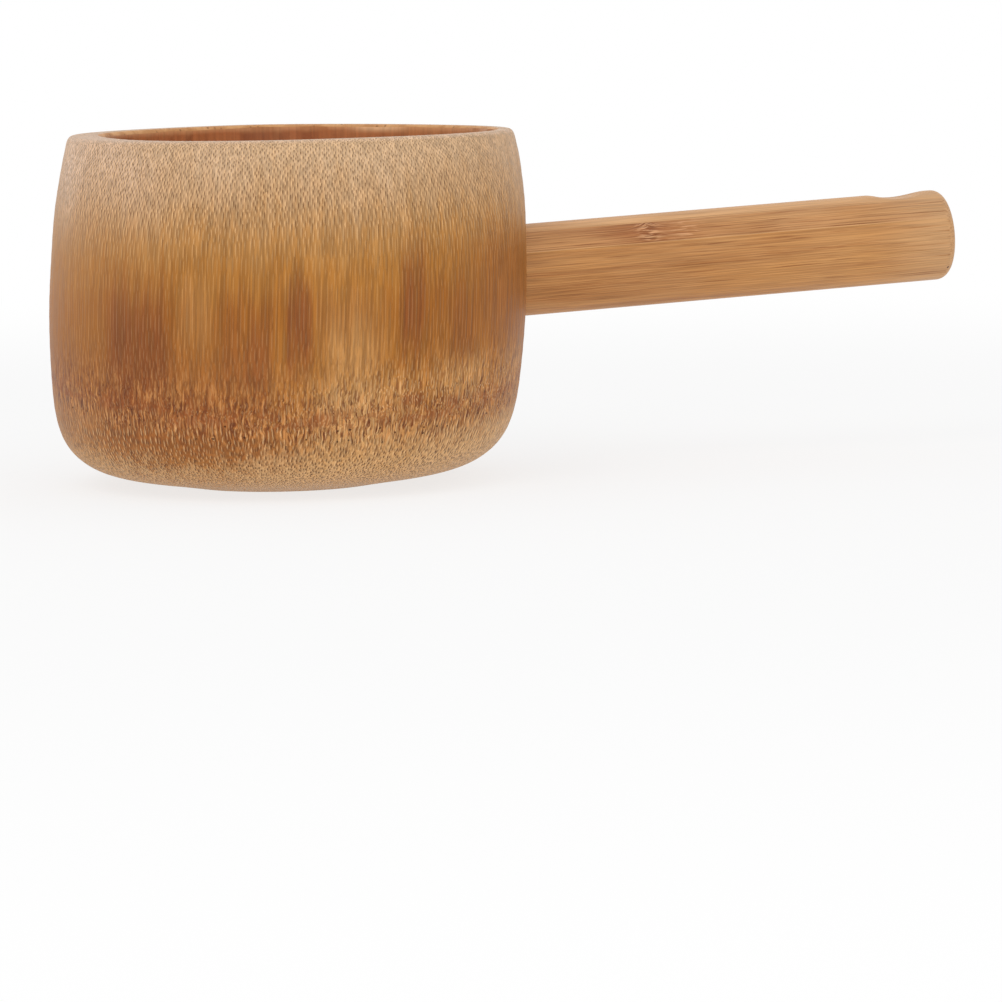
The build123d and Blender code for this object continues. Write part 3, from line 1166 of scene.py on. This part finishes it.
stripMasks = {
    "dark": [("broad", 0.4, 0.66, 0, 0.35)],
    "pale": [("slow", 0.45, 0.7, 0, 0.45)],
    "red": [("broad", 0.3, 0.6, 0.45, 0.85)],
    "streaky": [("broad", 0.3, 0.6, 0.35, 1)],
    "hairs": [("hair", 0.3, 0.42, 1, 0)],
    "splay": [("offside", -2, 0.8, -0.7, 0.05)],
    "round": [("out", 2.03, 2.9, 1, 0)],
    "strokes": [("fan", 0.5, 0.57)],
    "gaps": [("fan", 0.4, 0.47, 1, 0)],
    "trail": [("trail", 0.54, 0.62)],
    "glued": [("hair", 0.35, 0.6, 0.35, 0.75), ("along", 126, 142, 1, 0.3)],
    "endHairs": [("hair", 0.3, 0.5, 0.3, 1)],
    "speck": [("fromSpeck", 0.2, 0.4, 0.9, 0)],
    "shade": [("fine", 0.38, 0.62, 0.88, 1.1), ("hair", 0.4, 0.6, 0.97, 1.03)],
    "roughness": [("fine", 0.25, 0.75, 0.4, 0.54)],
}
nodeMark = {
    "pale": (222, 168, 122), "red": (160, 98, 56), "gap": (118, 64, 36),
    "centre": 2.8,  # place across the stack where the strokes meet
    "reach": 2.9,
    "redReach": 12.0,
    "redShift": 1.5,
    "trail": 8.5,  # pale strokes trail off on the far side, round this distance from the mark
    "trailReach": 4.0,
    "fan": (2.9, 0.28),
    "pull": 2.1,  # how much more the fibres bend at the mark than elsewhere
}
bendPull = 0.6
# the dark edge of a glue line is painted shade in the fine groove along the joint
glueLine = {
    "pale": (218, 170, 116), "dark": (142, 90, 50), "halfWidth": 0.09, "darkPlace": 0.22, "darkReach": 0.13,
}
endMark = {"from": 128.0, "tone": (206, 166, 124), "speck": (149.7, 9.7, 2.3), "speckTone": (72, 40, 22)}


def makeStripFinish(name, finish):
    material, tree, shader = newMaterial(name, roughness=0.46, specular=0.2)
    add, times, less = sums(tree)
    place = useGroup(tree, rodPlace)
    along, across, width = place["Along"], place["Across"], place["Width"]
    seed = finish["seed"]
    dark, pale = finish["dark"], finish["pale"]

    def grain(key, output="Fac"):
        acrossScale, alongScale, detail, shift = stripGrain[key]
        lengthwise = calc(tree, "MULTIPLY_ADD", along, alongScale, seed + shift)
        vector = pack(tree, times(across, acrossScale), times(width, acrossScale), lengthwise)
        return noise(tree, vector, detail=detail, output=output)

    fields = {key: grain(key) for key in ("fine", "hair", "broad", "slow")}
    fields["along"] = along
    mask = maskMaker(tree, fields, stripMasks)
    bends = bendsFrom(tree, grain("bend", "Color"))
    colour = tint(tree, toLinear(*finish["base"]), mask("dark"), dark)
    colour = tint(tree, colour, mask("pale"), pale)
    for middle, reach, tone, strength in finish.get("lengths", []):
        colour = tint(tree, colour, times(bell(tree, less(along, middle), reach), strength), finish[tone])

    # the strip's own node: reddish on both sides of it
    pull = bendPull
    if finish["node"]:
        fromMark = less(along, finish["node"])
        redBell = bell(tree, add(fromMark, nodeMark["redShift"]), nodeMark["redReach"])
        colour = tint(tree, colour, times(redBell, mask("red")), nodeMark["red"])
        markMask = bell(tree, fromMark, nodeMark["reach"])
        pull = calc(tree, "MULTIPLY_ADD", markMask, nodeMark["pull"], bendPull)

    # fibre bundles show as long streaks where the rod cuts them lengthwise
    cellAcross, cellDepth = finish["cells"]
    bundles = useGroup(
        tree, fibreBundles, CellAcross=cellAcross, CellDepth=cellDepth, CoreAcross=0.13, CoreDepth=0.16,
        Across=add(width, seed, times(bends["X"], pull)), Depth=add(across, times(bends["Y"], pull)),
    )
    core = times(bundles["Core"], calc(tree, "MULTIPLY_ADD", bundles["Tone"], 0.7, 0.3))
    core = times(core, mask("streaky"), finish["streaks"])
    hairs = times(mask("hairs"), finish["streaks"])
    # pale stroke beside each core: partly paler tissue, partly a painted highlight on one side of it
    colour = tint(tree, colour, times(bundles["Beside"], 0.3), pale)
    colour = tint(tree, colour, calc(tree, "MAXIMUM", core, hairs), dark)
    height = less(times(fields["fine"], 0.5), core)

    if finish["node"]:
        # pale strokes with dark gaps run lengthwise over the node, and splay on its upper side
        offside = less(across, nodeMark["centre"])
        fields["offside"] = offside
        fields["out"] = vectorCalc(tree, "LENGTH", pack(tree, times(fromMark, 0.5), offside), output="Value")
        splay = times(calc(tree, "ABSOLUTE", fromMark), mask("splay"))
        fanAcross, fanAlong = nodeMark["fan"]
        fan = pack(tree, times(add(offside, splay), fanAcross), times(fromMark, fanAlong), seed)
        fields.update(fan=noise(tree, fan, detail=1, distortion=0.3), trail=grain("trail"))
        mark = times(markMask, mask("round"))
        strokes, gaps = times(mask("strokes"), mark), times(mask("gaps"), mark)
        trail = times(bell(tree, less(fromMark, nodeMark["trail"]), nodeMark["trailReach"]), mask("trail"))
        colour = tint(tree, colour, times(strokes, 0.85), nodeMark["pale"])
        colour = tint(tree, colour, times(gaps, 0.75), nodeMark["gap"])
        colour = tint(tree, colour, times(trail, 0.6), nodeMark["pale"])
        height = add(height, times(less(strokes, gaps), 0.6))

    # glue lines at the strip's two faces, pale with a dark edge; the dark edge is painted shade in the fine
    # groove along the joint
    glued = mask("glued")
    half = glueLine["halfWidth"]
    for plane in (-handle["core"], 0.0, handle["core"]):
        off = less(across, plane)
        line = ease(tree, calc(tree, "ABSOLUTE", off), half * 0.5, half * 1.5, 1.0, 0.0)
        edge = bell(tree, add(off, glueLine["darkPlace"]), glueLine["darkReach"])
        colour = tint(tree, colour, times(edge, glued, 0.7), glueLine["dark"])
        colour = tint(tree, colour, times(line, glued), glueLine["pale"])

    # the free end is paler along its fibres, with one small knot
    ending = ease(tree, along, endMark["from"], handle["reach"], 0.0, finish["ending"])
    colour = tint(tree, colour, times(ending, mask("endHairs")), endMark["tone"])
    spot = pack(tree, along, across, width)
    fields["fromSpeck"] = vectorCalc(tree, "DISTANCE", spot, endMark["speck"], output="Value")
    colour = tint(tree, colour, mask("speck"), endMark["speckTone"])
    colour = shadeBy(tree, colour, mask("shade"))
    joinShader(tree, shader, colour, height, 0.05, mask("roughness"))
    return material


# Build the pieces

turnedCulm = makeTurnedCulm("turnedCulm", turnedFinish)
hollowSkin = makeHollowSkin("hollowSkin", skinFinish)
cutEdge = makeCutEdge("cutEdge", edgeFinish)
print("cup finishes made")

shell = makeCupShell([turnedCulm, hollowSkin, cutEdge])
cutSeatAndBore(shell)
shell.data.set_sharp_from_angle(angle=math.radians(40))
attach(shell, "root")
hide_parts("cup")
print("cup made:", len(shell.data.vertices), "points")

core, outer = handle["core"], handle["radius"] + 1
stack = {
    "handle_front_strip": (core, outer),
    "handle_front_core": (0.0, core),
    "handle_back_core": (-core, 0.0),
    "handle_back_strip": (-outer, -core),
}
kerfCutter = makeKerfCutter()
for node, (near, far) in stack.items():
    words = node.split("_")
    name = words[0] + "".join(word.capitalize() for word in words[1:])
    strip = makeStrip(name, near, far, makeStripFinish(name + "Finish", stripFinishes[node]))
    cutAway(strip, kerfCutter)
    strip.data.set_sharp_from_angle(angle=math.radians(32))
    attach(strip, "root")
    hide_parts(node)
bpy.data.objects.remove(kerfCutter)
print("handle made")

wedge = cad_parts["tenon_wedge"]
wedge.data.materials.clear()
wedge.data.materials.append(makeStripFinish("wedgeBamboo", wedgeFinish))
print("wedge finished")


# Floor, backdrop and light

studio = {
    "floorRadius": 6.0,  # metres
    "floorSides": 96,
    "floorShade": (246, 246, 246),
    "bounceShare": 0.6,  # how much of the same white the floor sends up to the object
    "whiteShare": 0.75,  # how much of the floor that the camera sees is plain white
    "whiteFrom": 0.22,  # metres from the middle where it starts to be all white
    "whiteAll": 0.6,
    "worldStrength": 0.78,
    "keyStrength": 4.0,
    "keyPlace": (-0.75, -0.95, 1.15),
    "keySize": 0.9,
    "fillStrength": 1.6,
    "fillPlace": (0.1, -1.2, 0.3),
    "fillSize": 0.5,
    "aim": (0.03, 0, 0.04),
}


def seenRays(tree):
    # 1 where the camera, a gloss or a clear material looks, and 0 for the light that bounces
    rays = addNode(tree, "ShaderNodeLightPath").outputs
    kinds = ("Camera", "Glossy", "Transmission")
    return calcAll(tree, "MAXIMUM", *[rays[f"Is {kind} Ray"] for kind in kinds])


def makeFloor():
    turns = np.arange(studio["floorSides"]) * 2 * math.pi / studio["floorSides"]
    rim = np.column_stack([np.cos(turns), np.sin(turns), np.zeros(len(turns))]) * studio["floorRadius"]
    mesh = bpy.data.meshes.new("floor")
    mesh.from_pydata(rim.tolist(), [], [tuple(range(len(turns)))])
    floor = bpy.data.objects.new("floor", mesh)
    bpy.context.scene.collection.objects.link(floor)
    material = bpy.data.materials.new("floorWhite")
    material.use_nodes = True
    tree = material.node_tree
    tree.nodes.clear()
    seen = seenRays(tree)
    place = addNode(tree, "ShaderNodeTexCoord").outputs["Object"]
    away = vectorCalc(tree, "LENGTH", place, output="Value")
    share = ease(tree, away, studio["whiteFrom"], studio["whiteAll"], studio["whiteShare"], 1.0)
    share = calc(tree, "MULTIPLY", share, ease(tree, seen, 0.0, 1.0, studio["bounceShare"], 1.0))
    plain = addNode(tree, "ShaderNodeBsdfDiffuse", {"Color": toLinear(*studio["floorShade"])}).outputs[0]
    white = addNode(tree, "ShaderNodeEmission", {"Color": (1, 1, 1, 1), "Strength": 1.0}).outputs[0]
    mixed = addNode(tree, "ShaderNodeMixShader", {0: share, 1: plain, 2: white}).outputs[0]
    clear = addNode(tree, "ShaderNodeBsdfTransparent").outputs[0]
    under = addNode(tree, "ShaderNodeNewGeometry").outputs["Backfacing"]
    final = addNode(tree, "ShaderNodeMixShader", {0: under, 1: mixed, 2: clear}).outputs[0]
    addNode(tree, "ShaderNodeOutputMaterial", {"Surface": final})
    mesh.materials.append(material)


def makeLight():
    world = bpy.data.worlds.new("studio")
    bpy.context.scene.world = world
    world.use_nodes = True
    tree = world.node_tree
    tree.nodes.clear()
    seen = seenRays(tree)
    soft, white = (
        addNode(tree, "ShaderNodeBackground", {"Color": (1, 1, 1, 1), "Strength": strength}).outputs[0]
        for strength in (studio["worldStrength"], 1.0)
    )
    mixed = addNode(tree, "ShaderNodeMixShader", {0: seen, 1: soft, 2: white}).outputs[0]
    addNode(tree, "ShaderNodeOutputWorld", {"Surface": mixed})
    for name in ("key", "fill"):
        data = bpy.data.lights.new(name, "AREA")
        data.shape = "DISK"
        data.size = studio[name + "Size"]
        data.energy = studio[name + "Strength"]
        lamp = bpy.data.objects.new(name, data)
        bpy.context.scene.collection.objects.link(lamp)
        lamp.location = studio[name + "Place"]
        aim = Vector(studio["aim"]) - lamp.location
        lamp.rotation_euler = aim.to_track_quat("-Z", "Y").to_euler()


makeFloor()
makeLight()
print("studio made")
